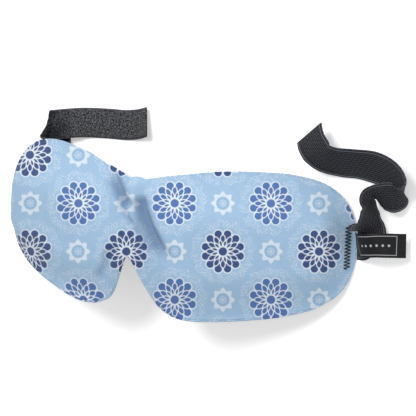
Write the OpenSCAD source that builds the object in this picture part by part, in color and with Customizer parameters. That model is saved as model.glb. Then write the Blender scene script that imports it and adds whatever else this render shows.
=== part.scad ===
// Contoured sleep mask with a folded-back elastic strap, a loop-tape tab and a woven flag label.
// The mask lies face up on its two temple ends. +X runs to the wearer's left temple (the strap side),
// +Y towards the forehead and +Z up, away from the face. The origin is the middle of the footprint.

/* [Mask] */
// Girth of one half of the mask, from the nose bridge round to the temple seam
half_girth = 118; // [114:1:122]
// Angle that each half turns back beside the nose bridge
wrap_angle = 24.5; // [20:0.5:28]
// Further angle that each half turns back towards its temple
temple_angle = 2.5; // [0:0.5:5]
// Height of each eye dome above the surface round it
dome_h = 8.5; // [6:0.5:10]
// Width of the slope that runs up to a dome from the top and bottom edges, as a part of the height
dome_slope = 0.35; // [0.3:0.01:0.4]
// How far the forehead edge curves back towards the face
brow_curve = 7.9; // [4:0.1:10]
// How far the bridge curves back towards the face above its middle
bridge_top_curve = 14.9; // [8:0.1:18]
// How far the nose notch curves back towards the face below the middle of the bridge
notch_curve = 12.8; // [8:0.1:16]
// How far the cheek edge stands out from the face
cheek_flare = 2.5; // [0:0.1:4]

/* [Layers] */
// Thickness of the printed front cover
cover_t = 0.5; // [0.4:0.1:0.8]
// Thickness of the foam under the domes
foam_t = 3.2; // [2.5:0.1:4]
// Thickness of the foam pressed flat along the edge
foam_edge_t = 0.6; // [0.5:0.1:1]
// Thickness of the back lining
lining_t = 0.5; // [0.4:0.1:0.8]
// Diameter of the turned seam round the edge
seam_d = 1.6; // [1.2:0.1:2]

/* [Strap] */
// Width of the elastic strap
strap_w = 19; // [16:0.5:20]
// Thickness of the elastic strap
strap_t = 1.2; // [1:0.1:1.4]
// Length of the hook patch on the strap's free end
hook_patch_l = 24; // [18:1:30]
// Thickness of the hook patch, hooks included
hook_patch_t = 1.1; // [0.8:0.1:1.4]

/* [Loop tab] */
// Width of the loop tape
tab_w = 16; // [14:0.5:17]
// Thickness of the loop tape's woven ground
tab_ground_t = 0.5; // [0.4:0.1:0.7]
// Height of the loop tape's pile
tab_pile_t = 1.0; // [0.8:0.1:1.2]

/* [Label] */
// Width of the folded woven label
label_w = 12; // [10:0.5:13]
// Thickness of the folded woven label
label_t = 0.5; // [0.4:0.1:0.8]

/* [Stitching] */
// Width of the zigzag bar tack over each temple seam
tack_w = 2.8; // [2:0.1:3.5]
// Length of each bar tack
tack_l = 22; // [18:0.5:24]
// Diameter of the bar tack thread
thread_d = 0.6; // [0.4:0.1:0.8]

/* [Hidden] */

fold_gap = 0.8;             // space left inside the tab's fold under the temple end
rest_pitch = 5;             // the forehead edge lies this many degrees higher than the cheek edge
base_girth = 118;           // girth that the outline points are given for
end_spread = 1.7;           // how much closer the mesh columns stand near the temples
bridge_spread = 1.3;        // how much closer they stand near the bridge
half_cols = 22;             // mesh columns on each half
rows = 12;                  // mesh rows from the cheek edge to the forehead edge
edge_band = 9;              // width of the band over which the foam thins out to the edge
dome_start = 6;             // girth at which the dome begins beside the bridge
dome_full = 32;             // girth at which it reaches its full height
dome_fall = 19;             // girth over which it falls away again before the temple
wrap_girth = 20;            // girth over which each half turns back beside the bridge
temple_start = 60;          // girth from which it turns back further
curve_mid = 10;             // height at which the edge curves begin, up and down
curve_reach = 38;           // height over which they come to their full depth
bridge_girth = 40;          // girth over which the bridge's curves pass into those of the domes

// Forehead edge of one half: girth from the bridge, height over the top of the nose notch
TOP = [[0, 41.7], [9, 42], [27, 44.5], [45, 47.3], [67, 48.4], [85, 48], [101, 44.4], [111, 37.3],
    [116.5, 26.3], [118, 14]];
// Nose notch and cheek edge of one half, in the same way
LOW = [[0, 0], [2.5, -2.2], [6, -9], [10, -15.5], [15, -22], [20, -26.3], [27, -29], [36, -29.2],
    [48, -28.6], [60, -27.4], [81, -24], [99, -18.4], [110.5, -10.2], [116.5, 1.4], [118, 14]];

// Strap route: each row is a point on the middle of the elastic and the direction across it, towards
// its lower edge. It leaves the seam flat, stands up on that edge, bends back over the table, doubles back
// under itself and curls up at its end.
STRAP = [[[107.9, 21.5, 2.3], [0, -1, 0]], [[112, 22, 4.2], [0.1, -1, -0.15]],
    [[115.3, 27, 7.6], [0.3, -0.7, -0.6]], [[116.8, 31, 10], [0.15, -0.42, -0.9]],
    [[117, 35.3, 10.5], [0.1, -0.2, -1]], [[116.9, 39.5, 10.8], [0.05, -0.15, -1]],
    [[115.7, 43.2, 12], [-0.29, -0.15, -0.95]], [[114.9, 45.8, 13], [-0.45, -0.15, -0.88]],
    [[115, 48.2, 13.4], [-0.55, -0.18, -0.81]], [[116.2, 48.6, 12.6], [-0.52, -0.34, -0.78]],
    [[117.6, 47.2, 12], [-0.45, -0.58, -0.68]], [[119.1, 46.1, 11.6], [-0.38, -0.73, -0.56]],
    [[120.8, 44.9, 11.4], [-0.29, -0.89, -0.36]], [[128.4, 45.8, 11.2], [-0.19, -0.9, -0.4]],
    [[132.8, 47.5, 9.4], [-0.25, -0.83, -0.5]], [[134.1, 49.8, 8.1], [-0.34, -0.67, -0.66]],
    [[132.3, 52.7, 7.5], [-0.36, -0.72, -0.59]], [[128.3, 55.9, 7.1], [-0.36, -0.77, -0.53]],
    [[123.1, 58.2, 6.7], [-0.29, -0.83, -0.47]], [[115.7, 59.6, 6.3], [-0.24, -0.86, -0.45]],
    [[104.8, 60, 6.6], [-0.28, -0.78, -0.56]], [[95.3, 59.7, 7], [-0.31, -0.78, -0.55]],
    [[88, 61.1, 9], [-0.48, -0.77, -0.42]], [[83.1, 65.1, 10.2], [-0.55, -0.81, -0.17]],
    [[79.1, 69.2, 8.4], [-0.65, -0.76, -0.08]], [[76.9, 72.1, 6.4], [-0.69, -0.72, -0.07]]];
// Tab route, in the same way: it folds under the temple end and runs out below the forehead edge,
TAB_IN = [[[-105.2, 20, 3.15], [0, -1, -0.087]], [[-106.4, 20, 3.15], [0, -1, -0.087]],
    [[-107.4, 20, 3.1], [0, -1, -0.08]], [[-108.1, 20, 2.75], [0, -1, -0.06]], [[-108.4, 20, 1.95], [0, -1, -0.03]],
    [[-108.1, 20, 1.15], [0, -1, 0]], [[-107.4, 20, 0.85], [0, -1, 0]], [[-106.2, 20.1, 0.8], [0.05, -1, 0]],
    [[-103.6, 21, 0.8], [0.25, -0.97, 0]], [[-99.4, 23.7, 0.8], [0.45, -0.9, 0]], [[-94, 28.3, 0.8], [0.65, -0.76, 0]],
    [[-88, 34.5, 0.8], [0.79, -0.61, 0]], [[-83, 41, 0.9], [0.94, -0.33, 0]], [[-81, 48.5, 1.3], [0.98, 0.2, 0]]];
// turns over on a slant,
TURN_FROM = [-83.3, 54.2, 1.8];
TURN_IN = 145;              // heading before the turn, in degrees from +X
TURN_R = 3.3;
TURN_RISE = 4.8;
TURN_STEP = 30;
// and comes down on the table with its pile up
TAB_OUT = [[[-70.3, 59.7, 4], [-0.1, 1, -0.12]], [[-64, 60.5, 1.6], [-0.1, 1, -0.03]],
    [[-57, 61.1, 0.8], [-0.09, 1, 0]], [[-48, 61.7, 0.8], [-0.09, 1, 0]], [[-39.6, 62.1, 0.9], [-0.13, 0.99, 0]],
    [[-31.1, 63.5, 1.9], [-0.17, 0.98, -0.08]], [[-23.6, 65.8, 4.4], [-0.17, 0.97, -0.17]]];
// Label route, in the same way: up over the root of the strap and down towards the table
LABEL = [[[108.8, 20.2, 4.8], [0.15, -1, -0.14]], [[112.2, 20.3, 9], [0.15, -1, -0.24]],
    [[115.8, 20.9, 12], [0.15, -1, -0.24]], [[120.3, 21.7, 13.8], [0.15, -1, -0.2]], [[124.2, 22.4, 13.4], [0.15, -1, -0.14]],
    [[128.2, 22.8, 11.6], [0.15, -1, -0.05]], [[131.6, 23, 8.8], [0.15, -1, 0]], [[134, 23.1, 6.4], [0.15, -1, 0]],
    [[136, 23.2, 4], [0.15, -1, 0]]];

// ---- curves ----
function clamp01(x) = min(max(x, 0), 1);
function ease(x) = let (c = clamp01(x)) c * c * (3 - 2 * c);
function unit(v) = v / norm(v);
function flat(lists) = [for (a = lists) for (b = a) b];

// Catmull-Rom value at u, counted in spans, along a list of numbers or vectors
function spline(p, u) =
    let (n = len(p) - 1, i = min(floor(u), n - 1), t = u - i,
         a = i > 0 ? p[i - 1] : 2 * p[0] - p[1], b = p[i], c = p[i + 1],
         d = i + 2 <= n ? p[i + 2] : 2 * p[n] - p[n - 1])
    0.5 * (2 * b + (c - a) * t + (2 * a - 5 * b + 4 * c - d) * t * t + (3 * b - a - 3 * c + d) * t * t * t);

// ---- the mask's middle line and outline ----
SCALE = half_girth / base_girth;
EDGE_T = cover_t + foam_edge_t + lining_t;
function girth_at(k) = half_girth * (1 - pow(1 - k, end_spread));
function share_of(s) = 1 - pow(1 - s / base_girth, 1 / end_spread);
function turn(s) = wrap_angle * ease(s / wrap_girth)
    + temple_angle * ease((s - temple_start) / (half_girth - temple_start));

MID_STEPS = 118;
MID_STEP = half_girth / MID_STEPS;
MID = [for (i = 0, p = [0, 0]; i <= MID_STEPS;
    p = p + MID_STEP * [cos(turn((i + 0.5) * MID_STEP)), -sin(turn((i + 0.5) * MID_STEP))], i = i + 1) p];
function mid_at(s) = let (q = s / MID_STEP, i = min(floor(q), MID_STEPS - 1)) MID[i] + (MID[i + 1] - MID[i]) * (q - i);

// Cubic through the outline's points, spaced by their share of the columns, with three-point slopes
function slope_at(e, i) =
    let (a = max(i - 1, 0), b = min(i + 1, len(e) - 1)) (e[b][1] - e[a][1]) / (share_of(e[b][0]) - share_of(e[a][0]));
function edge_at(e, k) =
    let (i = max([for (j = [0:len(e) - 2]) if (share_of(e[j][0]) <= k) j]),
         k0 = share_of(e[i][0]), w = share_of(e[i + 1][0]) - k0, t = (k - k0) / w,
         m0 = (i == 0 ? 0 : slope_at(e, i)) * w, m1 = slope_at(e, i + 1) * w)
    (2 * t * t * t - 3 * t * t + 1) * e[i][1] + (t * t * t - 2 * t * t + t) * m0
    + (3 * t * t - 2 * t * t * t) * e[i + 1][1] + (t * t * t - t * t) * m1;

// ---- the mask's front surface ----
// Point of one half at share k of the columns and share v of the height, in the mask's own frame
function front_at(k, v) =
    let (s = girth_at(k), m = mid_at(s), a = turn(s),
         low = edge_at(LOW, k), h = low + (edge_at(TOP, k) - low) * v,
         dome = dome_h * ease((s - dome_start) / (dome_full - dome_start)) * ease((half_girth - s) / dome_fall)
             * ease(min(v, 1 - v) / dome_slope),
         up = pow(min(max((h - curve_mid) / curve_reach, 0), 2), 2),
         down = pow(min(max((curve_mid - h) / curve_reach, 0), 2), 2),
         side = ease(s / bridge_girth),
         out = dome - (brow_curve * up - cheek_flare * down) * side
             - (bridge_top_curve * up + notch_curve * down) * (1 - side))
    [m[0] + out * sin(a), h, m[1] + out * cos(a)];
function mirror_x(p) = [-p[0], p[1], p[2]];
function skin_at(c, v) = c < 0 ? mirror_x(front_at(-c, v)) : front_at(c, v);

// Outward normal of the front surface at column share c, negative on the other half
STEP = 0.004;
function normal_at(c, v) =
    let (c0 = max(c - STEP, -0.995), c1 = min(c + STEP, 0.995), v0 = max(v - STEP, 0), v1 = min(v + STEP, 1))
    unit(cross(skin_at(c1, v) - skin_at(c0, v), skin_at(c, v1) - skin_at(c, v0)));

// ---- the rest position on the table ----
LEFT_RISE = 2 * tab_ground_t + tab_pile_t + fold_gap;
rest_roll = asin(LEFT_RISE / (2 * MID[MID_STEPS][0]));
function rolled(p) = [p[0] * cos(rest_roll) + p[2] * sin(rest_roll), p[1], p[2] * cos(rest_roll) - p[0] * sin(rest_roll)];
function pitched(p) = [p[0], p[1] * cos(rest_pitch) - p[2] * sin(rest_pitch),
    p[1] * sin(rest_pitch) + p[2] * cos(rest_pitch)];
function settled(p) = rolled(pitched(p));
rest_lift = seam_d / 2 - min([for (k = [0.8:0.01:1]) settled(rim_at(k, 0))[2]]);
function rest(p) = settled(p) + [0, 0, rest_lift];

// ---- solids from points ----
// Loft through rings. The second half of a ring is split the other way, so that a face shared with the
// next layer has the same triangles on both sides.
module loft(rings, closed = false) {
    n = len(rings);
    m = len(rings[0]);
    ends = closed ? [] : [[for (j = [m - 1:-1:0]) j], [for (j = [0:m - 1]) (n - 1) * m + j]];
    sides = [for (i = [0:n - (closed ? 1 : 2)]) for (j = [0:m - 1])
        let (a = i * m, b = ((i + 1) % n) * m, k = (j + 1) % m)
        each (j < m / 2 ? [[a + j, b + k, b + j], [a + j, a + k, b + k]]
            : [[a + j, a + k, b + j], [a + k, b + k, b + j]])];
    polyhedron(points = flat(rings), faces = concat(ends, sides), convexity = 8);
}

// Round or square bar of the given radius along points
function tube_rings(p, r, sides, up, closed = false) =
    let (n = len(p))
    [for (i = [0:n - 1])
        let (a = closed ? p[(i + n - 1) % n] : p[max(i - 1, 0)], b = closed ? p[(i + 1) % n] : p[min(i + 1, n - 1)],
             t = unit(b - a), x = unit(cross(t, up)), y = cross(x, t))
        [for (j = [0:sides - 1]) p[i] + r * (cos(j * 360 / sides) * x + sin(j * 360 / sides) * y)]];

// Position, direction across and face normal of a ribbon at u, counted in spans of its route
function ribbon_at(route, u) =
    let (p = [for (r = route) r[0]], e = 0.02, n = len(route) - 1,
         t = unit(spline(p, min(u + e, n)) - spline(p, max(u - e, 0))),
         w0 = spline([for (r = route) r[1]], u), w = unit(w0 - (w0 * t) * t))
    [spline(p, u), w, cross(t, w)];

// Part of a ribbon at the route values us, from y0 to y1 across it and from z0 to z1 through its thickness
function evenly(u0, u1, steps) = [for (i = [0:steps]) u0 + (u1 - u0) * i / steps];
function strip_rings(route, us, y0, y1, z0, z1) =
    [for (u = us)
        let (f = ribbon_at(route, u))
        [for (c = [[y0, z0], [y0, z1], [y1, z1], [y1, z0]]) f[0] + c[0] * f[1] + c[1] * f[2]]];

// Length along a route up to each of a row of points, and the route value u at a given length
LENGTH_STEPS = 20;
function route_lengths(route) =
    let (n = (len(route) - 1) * LENGTH_STEPS, p = [for (r = route) r[0]],
         q = [for (i = [0:n]) spline(p, i / LENGTH_STEPS)])
    [for (i = 0, s = 0; i <= n; s = s + (i < n ? norm(q[i + 1] - q[i]) : 0), i = i + 1) s];
function u_at_length(route, s) =
    let (l = route_lengths(route), i = max([for (j = [0:len(l) - 1]) if (l[j] <= s) j]),
         k = min(i, len(l) - 2))
    (k + (s - l[k]) / (l[k + 1] - l[k])) / LENGTH_STEPS;

// ---- the mask's layers ----
function height_at(k) = edge_at(TOP, k) - edge_at(LOW, k);
// Column share that stops short of the temple end, and share of the height that is left free along
// the top and bottom edges, for a margin of d mm
function last_col(d) = 1 - pow(d / half_girth, 1 / end_spread);
function margin_at(c, d) =
    let (k = abs(c), k0 = max(k - 0.01, 0), k1 = min(k + 0.01, 1),
         steep = max(abs(edge_at(LOW, k1) - edge_at(LOW, k0)), abs(edge_at(TOP, k1) - edge_at(TOP, k0)))
             / (girth_at(k1) - girth_at(k0)))
    min(d * sqrt(1 + steep * steep) / height_at(k), 0.15);
function col_share(i) = sign(i) * pow(abs(i) / half_cols, bridge_spread);

COLS = [for (i = [-half_cols:half_cols]) last_col(seam_d) * col_share(i)];
function row_share(c, j) = let (e = margin_at(c, seam_d)) e + (1 - 2 * e) * j / rows;
function edge_ease(c, v) =
    ease(min(v, 1 - v) * height_at(abs(c)) / edge_band) * ease((half_girth - girth_at(abs(c))) / edge_band);
function foam_at(c, v) = foam_edge_t + (foam_t - foam_edge_t) * edge_ease(c, v);

SKIN = [for (c = COLS) [for (j = [0:rows]) skin_at(c, row_share(c, j))]];
NORMALS = [for (c = COLS) [for (j = [0:rows]) normal_at(c, row_share(c, j))]];
FOAM = [for (c = COLS) [for (j = [0:rows]) foam_at(c, row_share(c, j))]];

// Grid of points at a depth of a mm plus b foam thicknesses below the front surface
function depth_grid(a, b) =
    [for (i = [0:len(COLS) - 1]) [for (j = [0:rows]) rest(SKIN[i][j] - (a + b * FOAM[i][j]) * NORMALS[i][j])]];

// Closed shell between an upper and a lower grid: each column's ring runs up one grid and down the other
module shell(upper, lower) {
    loft([for (i = [0:len(upper) - 1]) concat(upper[i], [for (j = [rows:-1:0]) lower[i][j]])]);
}

COVER_TOP = depth_grid(0, 0);
FOAM_TOP = depth_grid(cover_t, 0);
LINING_TOP = depth_grid(cover_t, 1);
LINING_LOW = depth_grid(cover_t + lining_t, 1);

// Middle of the edge seam, at half the edge's thickness: along the cheek edge and notch, up over the
// temple end, back along the forehead edge and down over the other temple end
function rim_at(c, v) = skin_at(c, v) - EDGE_T / 2 * normal_at(c, v);
RIM_END = last_col(seam_d / 2);
RIM_COLS = [for (i = [-half_cols:half_cols]) RIM_END * col_share(i)];
END_ROWS = [0.32, 0.5, 0.68];
function low_rim(c) = rest(rim_at(c, margin_at(c, seam_d / 2)));
function top_rim(c) = rest(rim_at(c, 1 - margin_at(c, seam_d / 2)));
RIM = concat([for (c = RIM_COLS) low_rim(c)], [for (v = END_ROWS) rest(rim_at(RIM_END, v))],
    [for (i = [len(RIM_COLS) - 1:-1:0]) top_rim(RIM_COLS[i])],
    [for (i = [2:-1:0]) rest(rim_at(-RIM_END, END_ROWS[i]))]);

// Zigzag of thread over a temple seam, on the front and again on the back
TACK_GIRTH = half_girth - 4.6;
TACK_MID = 14;
TACK_TEETH = 13;
TACK_POINTS = 4;
function tack_share(i) = let (x = i / TACK_POINTS) TACK_GIRTH + tack_w / 2 * sin(360 * x);
function tack_path(side, depth) =
    [for (i = [0:TACK_TEETH * TACK_POINTS])
        let (k = share_of(tack_share(i) / SCALE), h = TACK_MID - tack_l / 2 + tack_l * i / (TACK_TEETH * TACK_POINTS),
             v = (h - edge_at(LOW, k)) / height_at(k), c = side * k)
        rest(skin_at(c, v) + (depth < 0 ? -depth : -(cover_t + lining_t + foam_at(c, v) + depth)) * normal_at(c, v))];
module bar_tack(side) {
    for (depth = [-thread_d / 2, thread_d / 2])
        loft(tube_rings(tack_path(side, depth), thread_d / 2, 6, [0, 0, 1]));
}

// ---- the strap, the tab and the label ----
STRAP_SPANS = len(STRAP) - 1;
STRAP_L = route_lengths(STRAP)[STRAP_SPANS * LENGTH_STEPS];
STRAP_STEPS = 3;            // rings for each span of the route
PATCH_IN = 1.5;             // margin between the hook patch and the strap's edges
PATCH_FROM = u_at_length(STRAP, STRAP_L - PATCH_IN - hook_patch_l);
PATCH_TO = u_at_length(STRAP, STRAP_L - PATCH_IN);
PATCH_Y = strap_w / 2 - PATCH_IN;
PATCH_US = evenly(PATCH_FROM, PATCH_TO, 16);
STRAP_US = concat([for (u = [0:1 / STRAP_STEPS:PATCH_FROM - 0.1]) u], PATCH_US, [STRAP_SPANS]);
STRAP_RINGS = strip_rings(STRAP, STRAP_US, -strap_w / 2, strap_w / 2, -strap_t / 2, strap_t / 2);
STITCH_L = 1.6;             // length of one visible stitch
STITCH_PITCH = 2.5;         // distance from stitch to stitch
STITCH_T = 0.3;             // height of a stitch above the patch
STITCH_W = 0.4;             // width of a stitch
STITCH_Y = PATCH_Y - 1.2;   // distance of the stitch rows from the strap's middle

// The turn winds round a slanting axis that halves the change of heading
TURN_AXIS = [cos(TURN_IN / 2), sin(TURN_IN / 2), 0];
TURN_SIDE = [-TURN_AXIS[1], TURN_AXIS[0], 0];
UP = [0, 0, 1];
TURN_TILT = tab_w / 2 * cos(TURN_IN / 2);
TAB_TURN = [for (a = [0:TURN_STEP:180])
    [TURN_FROM + TURN_R * (a * PI / 180 / tan(TURN_IN / 2) * TURN_AXIS + sin(a) * TURN_SIDE)
         + (TURN_RISE * (1 - cos(a)) / 2 + TURN_TILT * sin(a)) * UP,
     sin(TURN_IN / 2) * TURN_AXIS - cos(TURN_IN / 2) * (cos(a) * TURN_SIDE + sin(a) * UP)]];
TAB = concat(TAB_IN, TAB_TURN, TAB_OUT);
TAB_SPANS = len(TAB) - 1;
TAB_BACK = -(tab_ground_t + tab_pile_t) / 2;
TAB_PILE_IN = 0.6;          // bare selvage beside the pile
PILE_FROM = 7;              // row of the route where the pile begins, past the fold
TAB_STEPS = 4;              // rings for each span of the route
function tab_rings(half, low, high, u0) =
    strip_rings(TAB, evenly(u0, TAB_SPANS, TAB_STEPS * (TAB_SPANS - u0)), -half, half, low, high);

LABEL_SPANS = len(LABEL) - 1;
LABEL_RINGS = strip_rings(LABEL, evenly(0, LABEL_SPANS, 4 * LABEL_SPANS), -label_w / 2, label_w / 2,
    -label_t / 2, label_t / 2);

// Middle of the footprint, over everything that reaches furthest
REACH = concat(RIM, flat(STRAP_RINGS), flat(tab_rings(tab_w / 2, TAB_BACK, -TAB_BACK, 0)), flat(LABEL_RINGS));
function middle(axis) = (min([for (p = REACH) p[axis]]) + max([for (p = REACH) p[axis]])) / 2;
module placed() {
    translate([-middle(0), -middle(1), 0]) children();
}

// ---- the pieces ----
module front_cover() {
    color("#a5c4df") placed() shell(COVER_TOP, FOAM_TOP);
}

module foam_core() {
    color("#3a3a3e") placed() shell(FOAM_TOP, LINING_TOP);
}

module back_lining() {
    color("#1c1c20") placed() shell(LINING_TOP, LINING_LOW);
}

module edge_seam() {
    color("#26262b") placed() loft(tube_rings(RIM, seam_d / 2, 8, [0, 0, 1], true), true);
}

module left_bar_tack() {
    color("#111114") placed() bar_tack(-1);
}

module right_bar_tack() {
    color("#111114") placed() bar_tack(1);
}

module elastic_strap() {
    color("#2a2a2e") placed() loft(STRAP_RINGS);
}

module hook_patch() {
    color("#1a1a1c") placed()
        loft(strip_rings(STRAP, PATCH_US, -PATCH_Y, PATCH_Y, -strap_t / 2 - hook_patch_t, -strap_t / 2));
}

module hook_patch_stitches() {
    first = STRAP_L - PATCH_IN - hook_patch_l + STITCH_L;
    top = -strap_t / 2 - hook_patch_t;
    color("#101012") placed()
        for (y = [-STITCH_Y, STITCH_Y], s = [first:STITCH_PITCH:STRAP_L - PATCH_IN - STITCH_L])
            loft(strip_rings(STRAP, [u_at_length(STRAP, s - STITCH_L / 2), u_at_length(STRAP, s + STITCH_L / 2)],
                y - STITCH_W / 2, y + STITCH_W / 2, top - STITCH_T, top));
}

module loop_tab_ground() {
    color("#3c3d40") placed() loft(tab_rings(tab_w / 2, TAB_BACK, TAB_BACK + tab_ground_t, 0));
}

module loop_tab_pile() {
    color("#2e2f32") placed() loft(tab_rings(tab_w / 2 - TAB_PILE_IN, TAB_BACK + tab_ground_t, -TAB_BACK, PILE_FROM));
}

module woven_label() {
    color("#0e0e10") placed() loft(LABEL_RINGS);
}

front_cover();
foam_core();
back_lining();
edge_seam();
left_bar_tack();
right_bar_tack();
elastic_strap();
hook_patch();
hook_patch_stitches();
loop_tab_ground();
loop_tab_pile();
woven_label();
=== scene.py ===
"""Contoured sleep mask lying face up: printed cover, foam, lining, elastic strap, loop-tape tab and label."""
import math

import bpy
import numpy as np
from mathutils import Matrix, Vector


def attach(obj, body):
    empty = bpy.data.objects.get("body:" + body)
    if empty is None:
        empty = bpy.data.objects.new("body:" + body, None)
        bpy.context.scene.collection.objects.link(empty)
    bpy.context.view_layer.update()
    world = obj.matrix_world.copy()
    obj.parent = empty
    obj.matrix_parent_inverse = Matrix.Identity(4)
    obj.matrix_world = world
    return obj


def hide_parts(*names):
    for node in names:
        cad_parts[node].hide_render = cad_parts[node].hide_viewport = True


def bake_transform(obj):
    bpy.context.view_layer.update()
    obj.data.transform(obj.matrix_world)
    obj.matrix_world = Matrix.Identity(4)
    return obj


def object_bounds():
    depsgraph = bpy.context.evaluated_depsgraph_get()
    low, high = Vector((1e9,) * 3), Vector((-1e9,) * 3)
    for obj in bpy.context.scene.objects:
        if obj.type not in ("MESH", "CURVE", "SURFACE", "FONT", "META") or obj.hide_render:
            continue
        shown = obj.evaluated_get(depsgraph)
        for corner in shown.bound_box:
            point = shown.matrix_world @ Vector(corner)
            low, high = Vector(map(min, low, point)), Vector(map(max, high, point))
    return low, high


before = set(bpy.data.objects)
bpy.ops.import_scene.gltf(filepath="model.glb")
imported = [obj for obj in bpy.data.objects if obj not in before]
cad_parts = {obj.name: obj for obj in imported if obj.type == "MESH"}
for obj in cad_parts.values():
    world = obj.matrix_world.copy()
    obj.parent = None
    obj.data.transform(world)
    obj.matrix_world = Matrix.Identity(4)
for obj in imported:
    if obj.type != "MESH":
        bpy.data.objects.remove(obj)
cad_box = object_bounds()
MM = 0.001
rng = np.random.default_rng(7)

# ---------- the mask's own frame, as the CAD model places it (mm) ----------
PLACE = np.array([-14.9697, -25.4375, 0.0])
ROLL, PITCH, LIFT = math.radians(0.743011), math.radians(5.0), 47.8735
HALF_GIRTH, WRAP, TEMPLE = 118.0, 24.5, 2.5
WRAP_OVER, TEMPLE_FROM = 20, 60     # girth over which the wrap turns in, and where the temples' turn begins
DOME_H, DOME_SLOPE = 8.5, 0.35
DOME_FROM, DOME_RISE, DOME_FALL = 6, 26, 19
MID_H, REACH_H, BRIDGE_HALF = 10, 38, 40
BROW, BRIDGE_TOP, NOTCH, CHEEK = 7.9, 14.9, 12.8, 2.5
END_SPREAD, BRIDGE_SPREAD = 1.7, 1.3
COVER_T, FOAM_T, FOAM_EDGE_T, LINING_T, SEAM_D = 0.5, 3.2, 0.6, 0.5, 1.6
EDGE_T = COVER_T + FOAM_EDGE_T + LINING_T
FOAM_FADE = 9
TOP = np.array([(0, 41.7), (9, 42), (27, 44.5), (45, 47.3), (67, 48.4), (85, 48), (101, 44.4), (111, 37.3),
                (116.5, 26.3), (118, 14)], float)
LOW = np.array([(0, 0), (2.5, -2.2), (6, -9), (10, -15.5), (15, -22), (20, -26.3), (27, -29), (36, -29.2),
                (48, -28.6), (60, -27.4), (81, -24), (99, -18.4), (110.5, -10.2), (116.5, 1.4),
                (118, 14)], float)


def ease(x):
    c = np.clip(x, 0, 1)
    return c * c * (3 - 2 * c)


def unit(v):
    return v / np.maximum(np.linalg.norm(v, axis=-1, keepdims=True), 1e-12)


def girth_at(k):
    return HALF_GIRTH * (1 - (1 - k) ** END_SPREAD)


def share_of(s):
    return 1 - (1 - s / HALF_GIRTH) ** (1 / END_SPREAD)


def turn(s):
    temple = ease((s - TEMPLE_FROM) / (HALF_GIRTH - TEMPLE_FROM))
    return np.radians(WRAP * ease(s / WRAP_OVER) + TEMPLE * temple)


# The middle line seen from above, one point for each millimetre of girth
GIRTH_STEPS = np.arange(HALF_GIRTH + 1)
STEP_TURN = turn(GIRTH_STEPS[:-1] + 0.5)
MID = np.concatenate([[[0, 0]], np.cumsum(np.stack([np.cos(STEP_TURN), -np.sin(STEP_TURN)], 1), 0)])


def edge_at(e, k):
    ks = share_of(e[:, 0])
    h = e[:, 1]
    slope = np.empty(len(e))
    slope[1:-1] = (h[2:] - h[:-2]) / (ks[2:] - ks[:-2])
    slope[0] = 0
    slope[-1] = (h[-1] - h[-2]) / (ks[-1] - ks[-2])
    k = np.asarray(k, float)
    i = np.clip(np.searchsorted(ks, k, side="right") - 1, 0, len(e) - 2)
    w = ks[i + 1] - ks[i]
    t = (k - ks[i]) / w
    return ((2 * t ** 3 - 3 * t ** 2 + 1) * h[i] + (t ** 3 - 2 * t ** 2 + t) * slope[i] * w
            + (3 * t ** 2 - 2 * t ** 3) * h[i + 1] + (t ** 3 - t ** 2) * slope[i + 1] * w)


def skin(c, v):
    """Front surface at column share c, negative on the other half, and height share v."""
    c, v = np.broadcast_arrays(np.asarray(c, float), np.asarray(v, float))
    k = np.abs(c)
    s = girth_at(k)
    low = edge_at(LOW, k)
    h = low + (edge_at(TOP, k) - low) * v
    dome = DOME_H * ease((s - DOME_FROM) / DOME_RISE) * ease((HALF_GIRTH - s) / DOME_FALL) \
        * ease(np.minimum(v, 1 - v) / DOME_SLOPE)
    up = np.clip((h - MID_H) / REACH_H, 0, 2) ** 2
    down = np.clip((MID_H - h) / REACH_H, 0, 2) ** 2
    side = ease(s / BRIDGE_HALF)
    out = dome - (BROW * up - CHEEK * down) * side - (BRIDGE_TOP * up + NOTCH * down) * (1 - side)
    a = turn(s)
    x = np.interp(s, GIRTH_STEPS, MID[:, 0]) + out * np.sin(a)
    z = np.interp(s, GIRTH_STEPS, MID[:, 1]) + out * np.cos(a)
    return np.stack([np.where(c < 0, -x, x), h, z], -1)


def normal(c, v, e=0.004):
    c, v = np.broadcast_arrays(np.asarray(c, float), np.asarray(v, float))
    c0, c1 = np.maximum(c - e, -0.995), np.minimum(c + e, 0.995)
    v0, v1 = np.maximum(v - e, 0), np.minimum(v + e, 1)
    return unit(np.cross(skin(c1, v) - skin(c0, v), skin(c, v1) - skin(c, v0)))


def rest(p):
    """From the mask's own frame to the row frame, in mm."""
    x, y, z = p[..., 0], p[..., 1], p[..., 2]
    y, z = y * math.cos(PITCH) - z * math.sin(PITCH), y * math.sin(PITCH) + z * math.cos(PITCH)
    x, z = x * math.cos(ROLL) + z * math.sin(ROLL), z * math.cos(ROLL) - x * math.sin(ROLL)
    return np.stack([x, y, z + LIFT], -1) + PLACE


def spin(p):
    """A direction of the mask's own frame in the row frame."""
    return rest(p) - rest(np.zeros(3))


# ---------- camera, at the photograph's viewing angle ----------
VIEW_ROWS = np.array([[0.8249, 0.0282, -0.5646], [-0.1478, 0.9748, -0.1673], [0.5456, 0.2214, 0.8082]])
BASIS = np.array([spin(r) for r in VIEW_ROWS])
APEX = rest(np.zeros(3))
DIST, PX_PER_MM, APEX_PX = 1200.0, 1.964, (125.77, 258.48)     # mm, scale at the apex, apex in the frame
FRAME_PX, SENSOR_MM = 416, 36


def frame_px(p):
    """Where points of the row frame, in mm, fall in the picture."""
    q = (p - APEX) @ BASIS.T
    f = DIST / (DIST - q[..., 2])
    return np.stack([APEX_PX[0] + PX_PER_MM * q[..., 0] * f, APEX_PX[1] - PX_PER_MM * q[..., 1] * f], -1)


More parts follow.
